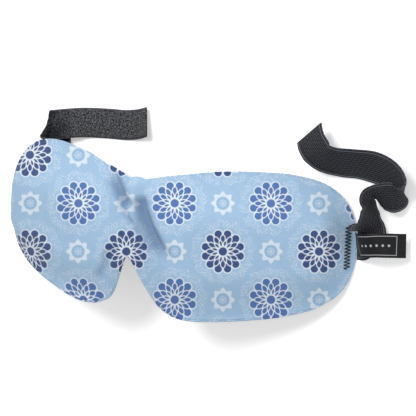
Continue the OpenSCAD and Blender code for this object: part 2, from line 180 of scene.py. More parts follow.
cam_data = bpy.data.cameras.new("camera")
cam_data.lens = SENSOR_MM * PX_PER_MM * DIST / FRAME_PX
cam_data.clip_start, cam_data.clip_end = 0.05, 20
cam = bpy.data.objects.new("camera", cam_data)
bpy.context.scene.collection.objects.link(cam)
eye = APEX + DIST * BASIS[2]
off_x, off_y = FRAME_PX / 2 - APEX_PX[0], APEX_PX[1] - FRAME_PX / 2
aim = APEX + off_x / PX_PER_MM * BASIS[0] + off_y / PX_PER_MM * BASIS[1]
back = unit(eye - aim)
right = unit(np.cross(BASIS[1], back))
up = np.cross(back, right)
cam.matrix_world = Matrix([[*r, e] for r, e in zip(np.stack([right, up, back], 1), eye * MM)] + [[0, 0, 0, 1]])
bpy.context.scene.camera = cam


# ---------- mesh helpers ----------
def add_mesh(name, verts, faces, mat, uvs=None, smooth=True):
    """Closed mesh from points in mm; uvs is a dict of layer name to one (u, v) for each point."""
    me = bpy.data.meshes.new(name)
    me.from_pydata((np.asarray(verts) * MM).tolist(), [], [tuple(int(i) for i in f) for f in faces])
    me.validate()
    loops = np.empty(len(me.loops), int)
    me.loops.foreach_get("vertex_index", loops)
    for layer, uv in (uvs or {}).items():
        me.uv_layers.new(name=layer).data.foreach_set("uv", np.asarray(uv, np.float32)[loops].ravel())
    me.materials.append(mat)
    me.polygons.foreach_set("use_smooth", [smooth] * len(me.polygons))
    me.update()
    ob = bpy.data.objects.new(name, me)
    bpy.context.scene.collection.objects.link(ob)
    return ob


def rings_mesh(rings, closed=False, offset=0):
    """Faces of a loft through equal rings, numbered from offset, facing outwards as in the CAD model."""
    n, m = rings.shape[:2]
    i, j = np.meshgrid(np.arange(n if closed else n - 1), np.arange(m), indexing="ij")
    a, b = (i * m).ravel(), (((i + 1) % n) * m).ravel()
    j = j.ravel()
    k = (j + 1) % m
    faces = [tuple(f) for f in np.stack([a + j, a + k, b + k, b + j], 1) + offset]
    if not closed:
        faces.append(tuple(range(offset + m - 1, offset - 1, -1)))
        faces.append(tuple(offset + (n - 1) * m + q for q in range(m)))
    return faces


def tube(points, r, sides, up_dir=(0, 0, 1)):
    """Rings of a round thread of radius r along points."""
    p = np.asarray(points, float)
    r = np.broadcast_to(r, len(p))
    t = unit(np.gradient(p, axis=0))
    x = unit(np.cross(t, up_dir))
    y = np.cross(x, t)
    a = (np.arange(sides) * 2 * math.pi / sides)[None, :, None]
    return p[:, None] + r[:, None, None] * (np.cos(a) * x[:, None] + np.sin(a) * y[:, None])


def spline(p, u):
    """Smooth curve through the points p, at the row numbers u."""
    p = np.asarray(p, float)
    p = np.concatenate([[2 * p[0] - p[1]], p, [2 * p[-1] - p[-2]]])
    i = np.clip(np.floor(u).astype(int), 0, len(p) - 4)
    t = (u - i)[:, None]
    a, b, c, d = p[i], p[i + 1], p[i + 2], p[i + 3]
    return 0.5 * (2 * b + (c - a) * t + (2 * a - 5 * b + 4 * c - d) * t ** 2 + (3 * b - a - 3 * c + d) * t ** 3)


class Ribbon:
    """A tape along a route of points and directions across it, in the row frame."""

    def __init__(self, route, fine=40):
        self.p = np.array([r[0] for r in route], float) + PLACE
        self.w = np.array([r[1] for r in route], float)
        self.n = len(route) - 1
        u = np.linspace(0, self.n, self.n * fine + 1)
        q = spline(self.p, u)
        self.us, self.ls = u, np.concatenate([[0], np.cumsum(np.linalg.norm(np.diff(q, axis=0), axis=1))])
        self.length = self.ls[-1]

    def frames(self, lengths):
        u = np.interp(lengths, self.ls, self.us)
        e = 0.02
        t = unit(spline(self.p, np.minimum(u + e, self.n)) - spline(self.p, np.maximum(u - e, 0)))
        w = spline(self.w, u)
        w = unit(w - (w * t).sum(1, keepdims=True) * t)
        return spline(self.p, u), t, w, np.cross(t, w)

    def rings(self, lengths, profile):
        """profile is one closed outline of (across, through) mm for all lengths, or one for each."""
        c, _, w, n = self.frames(lengths)
        q = np.broadcast_to(np.asarray(profile, float), (len(lengths),) + np.shape(profile)[-2:])
        return c[:, None] + q[..., 0:1] * w[:, None] + q[..., 1:2] * n[:, None]


# Routes: points and directions across, before PLACE. From its second row to the U-turn the strap is smoother
# than in the CAD model; the rest of it, the tab and the label have the CAD model's own rows.
STRAP_ROUTE = [((107.9, 21.5, 2.3), (0, -1, 0)), ((111.5, 22, 4.2), (0.1, -1, -0.15)),
               ((115.3, 26, 7.6), (0.25, -0.8, -0.55)), ((117, 31, 9.6), (0.15, -0.5, -0.86)),
               ((117.3, 36, 10.4), (0.05, -0.25, -0.97)), ((116.8, 40.6, 11), (-0.1, -0.16, -0.98)),
               ((116.9, 44, 11.8), (-0.28, -0.22, -0.93)), ((118.8, 46.1, 12.2), (-0.4, -0.4, -0.82)),
               ((121.9, 46.5, 12), (-0.37, -0.6, -0.71)), ((125.6, 46.5, 11.5), (-0.28, -0.76, -0.58)),
               ((129.4, 46.8, 10.7), (-0.24, -0.83, -0.5)), ((132.6, 48, 9.4), (-0.28, -0.78, -0.56)),
               ((133.8, 50.3, 8.3), (-0.33, -0.7, -0.63)), ((131.9, 53, 7.6), (-0.36, -0.72, -0.59)),
               ((128.3, 55.9, 7.1), (-0.36, -0.77, -0.53)), ((123.1, 58.2, 6.7), (-0.29, -0.83, -0.47)),
               ((115.7, 59.6, 6.3), (-0.24, -0.86, -0.45)), ((104.8, 60, 6.6), (-0.28, -0.78, -0.56)),
               ((95.3, 59.7, 7), (-0.31, -0.78, -0.55)), ((88, 61.1, 9), (-0.48, -0.77, -0.42)),
               ((83.1, 65.1, 10.2), (-0.55, -0.81, -0.17)), ((79.1, 69.2, 8.4), (-0.65, -0.76, -0.08)),
               ((76.9, 72.1, 6.4), (-0.69, -0.72, -0.07))]
TAB_IN = [((-105.2, 20, 3.15), (0, -1, -0.087)), ((-106.4, 20, 3.15), (0, -1, -0.087)),
          ((-107.4, 20, 3.1), (0, -1, -0.08)), ((-108.1, 20, 2.75), (0, -1, -0.06)),
          ((-108.4, 20, 1.95), (0, -1, -0.03)), ((-108.1, 20, 1.15), (0, -1, 0)),
          ((-107.4, 20, 0.85), (0, -1, 0)), ((-106.2, 20.1, 0.8), (0.05, -1, 0)),
          ((-103.6, 21, 0.8), (0.25, -0.97, 0)), ((-99.4, 23.7, 0.8), (0.45, -0.9, 0)),
          ((-94, 28.3, 0.8), (0.65, -0.76, 0)), ((-88, 34.5, 0.8), (0.79, -0.61, 0)),
          ((-83, 41, 0.9), (0.94, -0.33, 0)), ((-81, 48.5, 1.3), (0.98, 0.2, 0))]
TAB_OUT = [((-70.3, 59.7, 4), (-0.1, 1, -0.12)), ((-64, 60.5, 1.6), (-0.1, 1, -0.03)),
           ((-57, 61.1, 0.8), (-0.09, 1, 0)), ((-48, 61.7, 0.8), (-0.09, 1, 0)),
           ((-39.6, 62.1, 0.9), (-0.13, 0.99, 0)), ((-31.1, 63.5, 1.9), (-0.17, 0.98, -0.08)),
           ((-23.6, 65.8, 4.4), (-0.17, 0.97, -0.17))]
TURN_FROM, TURN_IN, TURN_R, TURN_RISE = np.array([-83.3, 54.2, 1.8]), math.radians(145), 3.3, 4.8
TAB_W = 16.0


def tab_turn():
    """Rows of the slanting wrap where the tape folds back over itself."""
    half = TURN_IN / 2
    axis = np.array([math.cos(half), math.sin(half), 0])
    side = np.array([-axis[1], axis[0], 0])
    zed = np.array([0, 0, 1.0])
    out = []
    for deg in range(0, 181, 30):
        a = math.radians(deg)
        out.append((TURN_FROM + TURN_R * (a / math.tan(half) * axis + math.sin(a) * side)
                    + (TURN_RISE * (1 - math.cos(a)) / 2 + TAB_W / 2 * math.cos(half) * math.sin(a)) * zed,
                    math.sin(half) * axis - math.cos(half) * (math.cos(a) * side + math.sin(a) * zed)))
    return out


TAB_ROUTE = TAB_IN + tab_turn() + TAB_OUT
LABEL_ROUTE = [((108.8, 20.2, 4.8), (0.15, -1, -0.14)), ((112.2, 20.3, 9), (0.15, -1, -0.24)),
               ((115.8, 20.9, 12), (0.15, -1, -0.24)), ((120.3, 21.7, 13.8), (0.15, -1, -0.2)),
               ((124.2, 22.4, 13.4), (0.15, -1, -0.14)), ((128.2, 22.8, 11.6), (0.15, -1, -0.05)),
               ((131.6, 23, 8.8), (0.15, -1, 0)), ((134, 23.1, 6.4), (0.15, -1, 0)),
               ((136, 23.2, 4), (0.15, -1, 0))]


# ---------- material helpers ----------
def linear(rgb):
    """Screen colour, 0 to 255, as the linear colour that a node takes."""
    share = [c / 255 for c in rgb]
    return tuple(c / 12.92 if c <= 0.04045 else ((c + 0.055) / 1.055) ** 2.4 for c in share) + (1.0,)


class Val:
    """A number socket with arithmetic that makes Math nodes."""

    def __init__(self, g, socket):
        self.g, self.s = g, socket

    def _op(self, op, *others, swap=False):
        args = (self,) + others
        if swap:
            args = args[::-1]
        return self.g.math(op, *args)

    def __add__(self, o): return self._op("ADD", o)
    def __radd__(self, o): return self._op("ADD", o)
    def __sub__(self, o): return self._op("SUBTRACT", o)
    def __rsub__(self, o): return self._op("SUBTRACT", o, swap=True)
    def __mul__(self, o): return self._op("MULTIPLY", o)
    def __rmul__(self, o): return self._op("MULTIPLY", o)
    def __truediv__(self, o): return self._op("DIVIDE", o)


class Graph:
    def __init__(self, name, roughness=0.85, sheen=0.0, specular=0.3, sheen_rough=0.5, colour=None):
        self.mat = bpy.data.materials.new(name)
        self.mat.use_nodes = True
        self.nt = self.mat.node_tree
        self.nt.nodes.clear()
        out = self.nt.nodes.new("ShaderNodeOutputMaterial")
        self.bsdf = self.nt.nodes.new("ShaderNodeBsdfPrincipled")
        self.nt.links.new(self.bsdf.outputs[0], out.inputs[0])
        self.bsdf.inputs["Roughness"].default_value = roughness
        self.bsdf.inputs["Sheen Weight"].default_value = sheen
        self.bsdf.inputs["Sheen Roughness"].default_value = sheen_rough
        self.bsdf.inputs["Specular IOR Level"].default_value = specular
        if colour:
            self.bsdf.inputs["Base Color"].default_value = linear(colour)

    def put(self, socket, value):
        if isinstance(value, Val):
            self.nt.links.new(value.s, socket)
        elif hasattr(value, "is_output"):
            self.nt.links.new(value, socket)
        else:
            socket.default_value = value

    def math(self, op, *args):
        n = self.nt.nodes.new("ShaderNodeMath")
        n.operation = op
        for i, a in enumerate(args):
            self.put(n.inputs[i], a)
        return Val(self, n.outputs[0])

    def clamp(self, v):
        n = self.nt.nodes.new("ShaderNodeClamp")
        self.put(n.inputs[0], v)
        return Val(self, n.outputs[0])

    def below(self, v, limit, soft):
        """1 where v is under limit, with an edge soft wide."""
        return self.clamp((limit - v) / soft + 0.5)

    def uv(self, layer, scale=1.0):
        """The two numbers of a uv layer; most layers are in mm."""
        n = self.nt.nodes.new("ShaderNodeUVMap")
        n.uv_map = layer
        s = self.nt.nodes.new("ShaderNodeSeparateXYZ")
        self.nt.links.new(n.outputs[0], s.inputs[0])
        return Val(self, s.outputs[0]) * scale, Val(self, s.outputs[1]) * scale

    def vec(self, x, y, z=0.0):
        n = self.nt.nodes.new("ShaderNodeCombineXYZ")
        for i, a in enumerate((x, y, z)):
            self.put(n.inputs[i], a)
        return n.outputs[0]

    def place(self):
        return self.nt.nodes.new("ShaderNodeTexCoord").outputs["Object"]

    def noise(self, vector, scale, detail=2.0, rough=0.5):
        n = self.nt.nodes.new("ShaderNodeTexNoise")
        self.nt.links.new(vector, n.inputs["Vector"])
        n.inputs["Scale"].default_value = scale
        n.inputs["Detail"].default_value = detail
        n.inputs["Roughness"].default_value = rough
        return Val(self, n.outputs[0])

    def voronoi(self, vector, scale):
        n = self.nt.nodes.new("ShaderNodeTexVoronoi")
        self.nt.links.new(vector, n.inputs["Vector"])
        n.inputs["Scale"].default_value = scale
        return Val(self, n.outputs["Distance"])

    def mix(self, factor, a, b):
        n = self.nt.nodes.new("ShaderNodeMix")
        n.data_type = "RGBA"
        self.put(n.inputs[0], factor)
        self.put(n.inputs[6], a)
        self.put(n.inputs[7], b)
        return n.outputs[2]

    def bump(self, height, strength, distance):
        n = self.nt.nodes.new("ShaderNodeBump")
        n.inputs["Strength"].default_value = strength
        n.inputs["Distance"].default_value = distance * MM
        self.put(n.inputs["Height"], height)
        self.nt.links.new(n.outputs[0], self.bsdf.inputs["Normal"])

    def colour(self, socket):
        self.nt.links.new(socket, self.bsdf.inputs["Base Color"])


# ---------- the printed cloth ----------
CELL = 48.2                 # from one motif to the next, in frame px; the print's uv map is in px / 100
FIRST = (30.1, 155.1)
PETALS = 12
GROUND, WHITE = linear((158, 189, 217)), linear((228, 235, 242))
NAVY, MEDIUM = linear((34, 50, 108)), linear((70, 104, 166))


def print_colour(g):
    """Flowers and medallions on one lattice, with rings of lace; lengths in frame px."""
    x, y = g.uv("print", 100.0)
    a, b = (x - FIRST[0]) / CELL, (y - FIRST[1]) / CELL
    s, t = (a + b) * 0.5, (a - b) * 0.5

    def near(shift):
        rs, rt = g.math("ROUND", s + shift) - shift, g.math("ROUND", t + shift) - shift
        ds, dt = s - rs, t - rt
        dx, dy = (ds + dt) * CELL, (ds - dt) * CELL
        r = g.math("SQRT", dx * dx + dy * dy)
        return rs, rt, r, g.math("ARCTAN2", dy, dx) * (1 / (2 * math.pi))

    def petals(r, th, count, off, r0, ar, aw, flare, soft=0.55):
        """count ovals on a circle of radius r0, ar long and aw wide each way, wider outwards by flare."""
        arc = (g.math("FRACT", th * float(count) + off) - 0.5) * (2 * math.pi / count) * r
        lean = (r - r0) / ar
        width = lean * (flare * aw) + aw
        q = g.math("SQRT", lean * lean + (arc / width) * (arc / width))
        return g.clamp((1.0 - q) * (aw / soft) + 0.5)

    rs, rt, r, th = near(0.0)
    odd = g.math("PINGPONG", rs - rt, 1.0)
    dye = g.mix(odd, NAVY, MEDIUM)
    _, _, rm, tm = near(0.5)

    wob = g.noise(g.vec(x, y), 0.9, 2.0)
    base = g.mix(g.clamp(g.noise(g.vec(x, y), 0.12, 3.0) * 0.9 - 0.2), GROUND, linear((172, 201, 226)))
    # lace between the motifs: rings of small slanting leaves, worn thin in places
    wave = r + g.math("SINE", th * (2 * math.pi * PETALS)) * 1.2
    lace = petals(wave, th + r * 0.006, 48, 0.0, 26.0, 1.25, 0.8, 0.0, 0.8)
    for count, off, r0, slant in ((48, 0.4, 28.3, -0.007), (52, 0.1, 30.6, 0.006)):
        lace = g.math("MAXIMUM", lace, petals(wave, th + r * slant, count, off, r0, 1.2, 0.8, 0.0, 0.8))
    vein = g.below(g.math("ABSOLUTE", wave - 24.4), 0.25, 0.9)
    specks = g.clamp(g.noise(g.vec(x, y), 0.9, 2.0) * 4.0 - 1.3)
    torn = g.clamp((g.noise(g.vec(x, y), 0.16, 2.0) - 0.45) * 6.0 + 0.6)
    clear = g.clamp((rm - 14.0) * 0.5)
    base = g.mix(g.clamp((lace * specks + vein * 0.35) * clear * torn * 0.8), base, WHITE)
    # medallions: a toothed white ring around a blue disc with a small pale centre
    ripple = g.math("ABSOLUTE", g.math("FRACT", tm * 8.0) - 0.5) * 2.0
    star = g.below(rm, ripple * 3.6 + 8.6, 1.3) * g.below(6.6 - rm, 0.0, 1.2)
    base = g.mix(star * 0.86, base, WHITE)
    base = g.mix(g.below(rm, 6.4, 1.2) * 0.55, base, linear((140, 178, 212)))
    seeds = petals(rm, tm, 8, 0.5, 3.0, 1.0, 0.6, 0.0, 0.9)
    base = g.mix(g.clamp(g.below(rm, 1.2, 1.0) + seeds) * 0.7, base, WHITE)
    # flowers
    halo = g.math("MAXIMUM", petals(r, th, PETALS, 0.0, 17.3, 5.6, 4.9, 0.3), g.below(r, 17.0, 1.0))
    base = g.mix(halo * 0.9, base, WHITE)
    base = g.mix(petals(r, th, PETALS, 0.0, 17.2, 4.5, 3.5, 0.35), base, dye)
    for off, r0, ar, aw in ((0.5, 12.0, 4.0, 1.95), (0.0, 8.1, 2.5, 1.0)):
        base = g.mix(petals(r, th, PETALS, off, r0, ar + 1.0, aw + 1.0, 0.15), base, WHITE)
        base = g.mix(petals(r, th, PETALS, off, r0, ar, aw, 0.2), base, dye)
    base = g.mix(g.below(r, 5.4, 0.8), base, WHITE)
    base = g.mix(g.below(r, 4.2, 0.8), base, dye)
    return g.mix(g.clamp(wob * 0.5 - 0.16), base, GROUND)      # worn in spots


def print_material(name, trim=False):
    g = Graph(name, roughness=0.85, sheen=0.04, specular=0.12)
    col = print_colour(g)
    # painted shade: the cloth is darkened to a dull blue along the creases, where the valleys would be in
    # shadow
    fold, _ = g.uv("fold")
    col = g.mix(g.clamp(fold) * 0.62, col, linear((62, 86, 124)))
    u, v = g.uv("cloth")
    warp = g.math("SINE", u * (2 * math.pi / 0.42)) * g.math("SINE", v * (2 * math.pi / 0.42))
    slub = g.noise(g.vec(u * 0.25, v * 3.0), 1.0, 3.0, 0.6)
    col = g.mix(g.clamp(slub * 0.55 - 0.2), col, linear((104, 134, 174)))
    if trim:
        behind, _ = g.uv("side")
        col = g.mix(g.clamp((behind - 0.5) * 6.0 + 0.5), col, linear((24, 24, 30)))
    g.colour(col)
    g.bump(warp * 0.35 + slub * 0.8, 0.5, 0.12)
    return g.mat


def knit_material():
    g = Graph("lining_knit", roughness=0.92, sheen=0.08, specular=0.1)
    u, v = g.uv("cloth")
    wale = g.math("ABSOLUTE", g.math("SINE", u * (math.pi / 0.7)))
    course = g.math("SINE", v * (2 * math.pi / 0.6) + wale * 2.2)
    fuzz = g.noise(g.vec(u, v), 2.2, 4.0, 0.6)
    tone = g.clamp(wale * 0.3 + course * 0.12 + fuzz * 0.7 - 0.1)
    g.colour(g.mix(tone, linear((16, 16, 20)), linear((44, 44, 52))))
    g.bump(wale * 0.6 + course * 0.3 + fuzz * 0.6, 0.6, 0.15)
    return g.mat


def foam_material():
    g = Graph("foam", roughness=0.95, specular=0.1)
    p = g.place()
    pores = g.voronoi(p, 1400.0)
    g.colour(g.mix(g.clamp(pores * 1.4), linear((34, 34, 38)), linear((78, 78, 84))))
    g.bump(pores, 0.7, 0.3)
    return g.mat


def thread_material(name, dark, light):
    g = Graph(name, roughness=0.55, sheen=0.03, specular=0.3)
    p = g.place()
    twist = g.noise(p, 2600.0, 2.0)
    g.colour(g.mix(g.clamp(twist * 1.6 - 0.4), linear(dark), linear(light)))
    g.bump(twist, 0.6, 0.08)
    return g.mat


STRAP_W, STRAP_T, RIBS = 19.0, 1.2, 16
RIB = STRAP_W / RIBS        # from one rib of the elastic to the next, mm


def elastic_material():
    """Uv in mm: x across, y along. Fine lengthwise ribs under a herringbone of light and dark picks."""
    g = Graph("woven_elastic", roughness=0.62, sheen=0.03, specular=0.25)
    x, y = g.uv("cloth")
    rib = g.math("COSINE", x * (2 * math.pi / RIB))
    row = g.math("ROUND", x / RIB)
    pick = g.math("SINE", (y + row * 0.36) * (2 * math.pi / 0.9))
    twill = g.math("SINE", (y + x * 1.4) * (2 * math.pi / 2.6))
    fleck = g.noise(g.vec(x * 1.6, y * 0.9), 1.7, 3.0, 0.7)
    edge = g.below(g.math("ABSOLUTE", g.math("ABSOLUTE", x) - 8.3), 0.3, 0.3)
    tone = g.clamp(rib * 0.3 + pick * 0.24 + twill * 0.1 + fleck * 0.9 - 0.42)
    col = g.mix(tone, linear((8, 8, 13)), linear((104, 107, 117)))
    g.colour(g.mix(edge * 0.5, col, linear((118, 122, 134))))
    g.bump(rib * 0.5 + twill * 0.3 + pick * 0.2 + fleck * 0.3, 0.7, 0.16)
    return g.mat


def loop_material():
    g = Graph("loop_pile", roughness=0.9, sheen=0.03, specular=0.1, sheen_rough=0.6)
    x, y = g.uv("cloth")
    tuft = g.noise(g.vec(x, y), 1.1, 5.0, 0.75)
    curl = g.voronoi(g.vec(x, y), 1.3)
    # the pile turns paler in uneven patches from about 64 mm along the tab onwards
    paler_along = g.clamp((y - 64.0) / 12.0 + g.noise(g.vec(x, y), 0.12, 3.0) * 1.6 - 0.8)
    tone = g.clamp(tuft * 3.4 - 1.65 + curl * 0.3)
    dark = g.mix(paler_along, linear((14, 14, 17)), linear((30, 31, 34)))
    light = g.mix(paler_along, linear((78, 80, 86)), linear((150, 152, 156)))
    g.colour(g.mix(tone, dark, light))
    g.bump(tuft * 1.0 + curl * 0.5, 1.0, 0.5)
    return g.mat


def fuzz_material():
    g = Graph("loop_fuzz", roughness=0.75, sheen=0.0, specular=0.2)
    tone = g.noise(g.place(), 900.0, 2.0)
    g.colour(g.mix(g.clamp(tone * 2.4 - 0.8), linear((26, 27, 31)), linear((118, 120, 126))))
    return g.mat


def tape_back_material():
    g = Graph("tape_ground", roughness=0.75, sheen=0.02, specular=0.2)
    x, y = g.uv("cloth")
    twill = g.math("SINE", (x + y) * (2 * math.pi / 0.9))
    yarn = g.math("SINE", (x - y) * (2 * math.pi / 0.45))
    n = g.noise(g.vec(x, y), 1.2, 3.0)
    edge = g.below(7.2 - g.math("ABSOLUTE", x), 0.0, 0.5)
    col = g.mix(g.clamp(twill * 0.22 + yarn * 0.08 + n * 0.6), linear((20, 21, 25)), linear((70, 72, 80)))
    g.colour(g.mix(edge * 0.4, col, linear((120, 123, 130))))
    g.bump(twill * 0.5 + yarn * 0.3, 0.6, 0.12)
    return g.mat


def hook_material():
    g = Graph("moulded_hooks", roughness=0.5, specular=0.45)
    n = g.noise(g.place(), 700.0, 2.0)
    g.colour(g.mix(g.clamp(n * 1.4 - 0.3), linear((40, 44, 52)), linear((96, 104, 118))))
    g.bump(n, 0.3, 0.1)
    return g.mat


def label_material():
    """Satin weave with a thin woven border and a row of dots."""
    g = Graph("woven_label", roughness=0.5, sheen=0.02, specular=0.3)
    x, y = g.uv("cloth")
    satin = g.math("SINE", y * (2 * math.pi / 0.32)) * 0.5
    satin = satin + g.math("SINE", (x * 2.0 + y) * (2 * math.pi / 0.8)) * 0.3
    ax = g.math("ABSOLUTE", x)
    rim = g.below(g.math("ABSOLUTE", ax - 4.7), 0.16, 0.12)
    inside = g.clamp((y - 6.0) * 4.0) * g.clamp((29.6 - y) * 4.0)
    bars = g.below(g.math("ABSOLUTE", y - 6.2), 0.16, 0.12) + g.below(g.math("ABSOLUTE", y - 29.4), 0.16, 0.12)
    frame_line = g.clamp(rim * inside + bars * g.below(ax, 4.8, 0.2))
    along = (g.math("FRACT", y / 3.0) - 0.5) * 3.0
    dot = g.below(g.math("SQRT", x * x + along * along), 0.6, 0.25)
    dot = dot * g.clamp((y - 8.6) * 4.0) * g.clamp((27.4 - y) * 4.0)
    n = g.noise(g.vec(x, y), 2.0, 3.0)
    col = g.mix(g.clamp(satin * 0.3 + n * 0.5), linear((9, 9, 11)), linear((30, 30, 35)))
    g.colour(g.mix(g.clamp(frame_line * 0.8 + dot * 0.9), col, linear((186, 190, 196))))
    g.bump(satin * 0.4 + (frame_line + dot) * 0.6, 0.5, 0.1)
    return g.mat


M_PRINT, M_EDGE = print_material("printed_cloth"), print_material("turned_edge", trim=True)
M_LINING, M_FOAM = knit_material(), foam_material()
M_THREAD = thread_material("black_thread", (14, 14, 18), (52, 52, 60))
M_ELASTIC, M_LOOP, M_FUZZ, M_BACK = elastic_material(), loop_material(), fuzz_material(), tape_back_material()
M_HOOK, M_LABEL = hook_material(), label_material()

# ---------- the mask ----------
HALF_COLS, ROWS = 150, 72


def col_shares(n, d):
    i = np.arange(-n, n + 1)
    return (1 - (d / HALF_GIRTH) ** (1 / END_SPREAD)) * np.sign(i) * (np.abs(i) / n) ** BRIDGE_SPREAD


def margin(c, d):
    k = np.abs(c)
    k0, k1 = np.maximum(k - 0.01, 0), np.minimum(k + 0.01, 1)
    steep = np.maximum(np.abs(edge_at(LOW, k1) - edge_at(LOW, k0)), np.abs(edge_at(TOP, k1) - edge_at(TOP, k0)))
    steep = steep / (girth_at(k1) - girth_at(k0))
    return np.minimum(d * np.sqrt(1 + steep ** 2) / (edge_at(TOP, k) - edge_at(LOW, k)), 0.15)


COVER_IN = 0.85         # the layers run this near the rim, into the turned edge
cols = col_shares(HALF_COLS, COVER_IN)
e_ = margin(cols, COVER_IN)
C = np.repeat(cols[:, None], ROWS + 1, 1)
V = e_[:, None] + (1 - 2 * e_[:, None]) * np.arange(ROWS + 1)[None] / ROWS
S0, NRM = skin(C, V), normal(C, V)
GIRTH = np.sign(C) * girth_at(np.abs(C))
HEIGHT = S0[..., 1]
span = (edge_at(TOP, np.abs(C)) - edge_at(LOW, np.abs(C)))
RIM_D = np.minimum(np.minimum(V, 1 - V) * span, HALF_GIRTH - np.abs(GIRTH))
PX = frame_px(rest(S0))


def foam_at(v, height, s):
    """Foam's thickness: full in the middle, thin along the rim."""
    return FOAM_EDGE_T + (FOAM_T - FOAM_EDGE_T) * ease(np.minimum(v, 1 - v) * height / FOAM_FADE) \
        * ease((HALF_GIRTH - s) / FOAM_FADE)


FOAM = foam_at(V, span, np.abs(GIRTH))


def to_line(px, line):
    """Distance from each point to a polyline and how far along it, 0 to 1."""
    best, along = np.full(px.shape[:-1], 1e9), np.zeros(px.shape[:-1])
    line = np.asarray(line, float)
    for i in range(len(line) - 1):
        ab = line[i + 1] - line[i]
        t = np.clip(((px - line[i]) @ ab) / (ab @ ab), 0, 1)
        d = np.linalg.norm(px - line[i] - t[..., None] * ab, axis=-1)
        near = d < best
        best, along = np.where(near, d, best), np.where(near, (i + t) / (len(line) - 1), along)
    return best, along


# Pressed folds either side of the bridge, dented into the cloth and darkened with painted shade: a line in
# frame px, depth in mm, width in px
CREASES = [([(127, 208), (121, 194), (116, 182), (111, 168)], 3.2, 4.6),
           ([(133, 226), (125, 214), (119, 204)], 1.4, 3.0),
           ([(139, 194), (142, 210), (148, 228), (158, 248), (172, 266)], 3.6, 5.2),
           ([(135, 224), (141, 240), (149, 258)], 1.5, 3.2),
           ([(113, 244), (105, 266), (98, 284)], 1.2, 4.0)]


def value_noise(x, y, seed):
    """Smooth noise of about -1 to 1 from a few waves."""
    r = np.random.default_rng(seed)
    out = 0
    for _ in range(9):
        a, f, ph = r.random() * 2 * math.pi, r.uniform(0.5, 1.7), r.random() * 2 * math.pi
        out = out + np.sin(f * (x * math.cos(a) + y * math.sin(a)) + ph)
    return out / 4.5


DEEPEST = max(depth for _, depth, _ in CREASES)
dent, fold = np.zeros(C.shape), np.zeros(C.shape)
for line, depth, width in CREASES:
    d, t = to_line(PX, line)
    fade = ease(t * 6 + 0.25) * ease((1 - t) * 3)
    dent -= depth * np.exp(-(d / width) ** 2) * fade
    # painted shade along each crease, strongest on the deepest one, passed to the cloth's colour as a uv layer
    fold += depth / DEEPEST * np.exp(-(d / (1.5 * width)) ** 2) * fade
    dent += 0.3 * depth * np.exp(-((d - 2.2 * width) / (1.2 * width)) ** 2) * fade
PUCKER_EVERY = 8.5
pucker = 0.22 * np.sin(GIRTH * 2 * math.pi / PUCKER_EVERY + 1.2 * value_noise(GIRTH / 14, HEIGHT / 14, 3))
pucker *= np.exp(-RIM_D / 3.2)
pucker -= 0.16 * np.exp(-((RIM_D - 3.4) / 1.3) ** 2) * (0.6 + 0.4 * value_noise(GIRTH / 6, HEIGHT / 6, 4))
soft = 0.16 * value_noise(GIRTH / 11, HEIGHT / 11, 5) * ease(RIM_D / 10)
edge_hold = ease(RIM_D / 2.2)
DISP = (dent + pucker + soft) * edge_hold - 0.14 * np.exp(-(RIM_D / 1.1) ** 2)


def layer(depth_a, depth_b, disp_share):
    """Grid depth_a mm plus depth_b foam thicknesses under the skin, with that share of its creases."""
    return rest(S0 + NRM * (DISP * disp_share - depth_a - depth_b * FOAM)[..., None])


def shell(name, upper, lower, mat, uvs):
    """Closed shell between two grids; each column's ring runs up one grid and down the other."""
    rings = np.concatenate([upper, lower[:, ::-1]], 1)
    both = {k: np.concatenate([v, v[:, ::-1]], 1).reshape(-1, 2) for k, v in uvs.items()}
    n, m = rings.shape[:2]
    faces = rings_mesh(rings)[:-2]
    h = m // 2
    for base, flip in ((0, False), ((n - 1) * m, True)):
        for j in range(h - 1):
            f = (base + j, base + m - 1 - j, base + m - 2 - j, base + j + 1)
            faces.append(f[::-1] if flip else f)
    return add_mesh(name, rings.reshape(-1, 3), faces, mat, both)


# The print runs along the camera's view, and never tighter than this share of true length
MIN_RATE = 0.36
print_x = PX[..., 0].copy()
for i in range(HALF_COLS - 1, -1, -1):
    true = np.linalg.norm(rest(S0[i]) - rest(S0[i + 1]), axis=-1) * PX_PER_MM
    print_x[i] = print_x[i + 1] - np.maximum(PX[i + 1, :, 0] - PX[i, :, 0], MIN_RATE * true)
PRINT = np.stack([print_x, PX[..., 1]], -1) / 100
CLOTH = np.stack([GIRTH, HEIGHT], -1)
# the painted crease shade, as a uv layer for the print
CREASE_SHADE = np.stack([fold, fold], -1)

BACK_SHARE = 0.35       # of the front's creases, shows on the lining
A0, A1 = layer(0, 0, 1), layer(COVER_T, 0, 1)
A2, A3 = layer(COVER_T, 1, BACK_SHARE), layer(COVER_T + LINING_T, 1, BACK_SHARE)
cover = shell("printed_cover", A0, A1, M_PRINT, {"print": PRINT, "cloth": CLOTH, "fold": CREASE_SHADE})
foam = shell("foam_pad", A1, A2, M_FOAM, {"cloth": CLOTH})
lining = shell("knit_lining", A2, A3, M_LINING, {"cloth": CLOTH})
for ob, node in ((cover, "front_cover"), (foam, "foam_core"), (lining, "back_lining")):
    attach(ob, "mask")
    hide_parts(node)
s_fine = np.linspace(0, HALF_GIRTH, 400)
k_fine = share_of(s_fine)
cut = 2 * np.trapz(edge_at(TOP, k_fine) - edge_at(LOW, k_fine), s_fine)


# Turned edge: a soft roll that follows the rim, print in front and lining behind
def rim_point(c, v):
    return rest(skin(c, v) - EDGE_T / 2 * normal(c, v)), spin(normal(c, v))


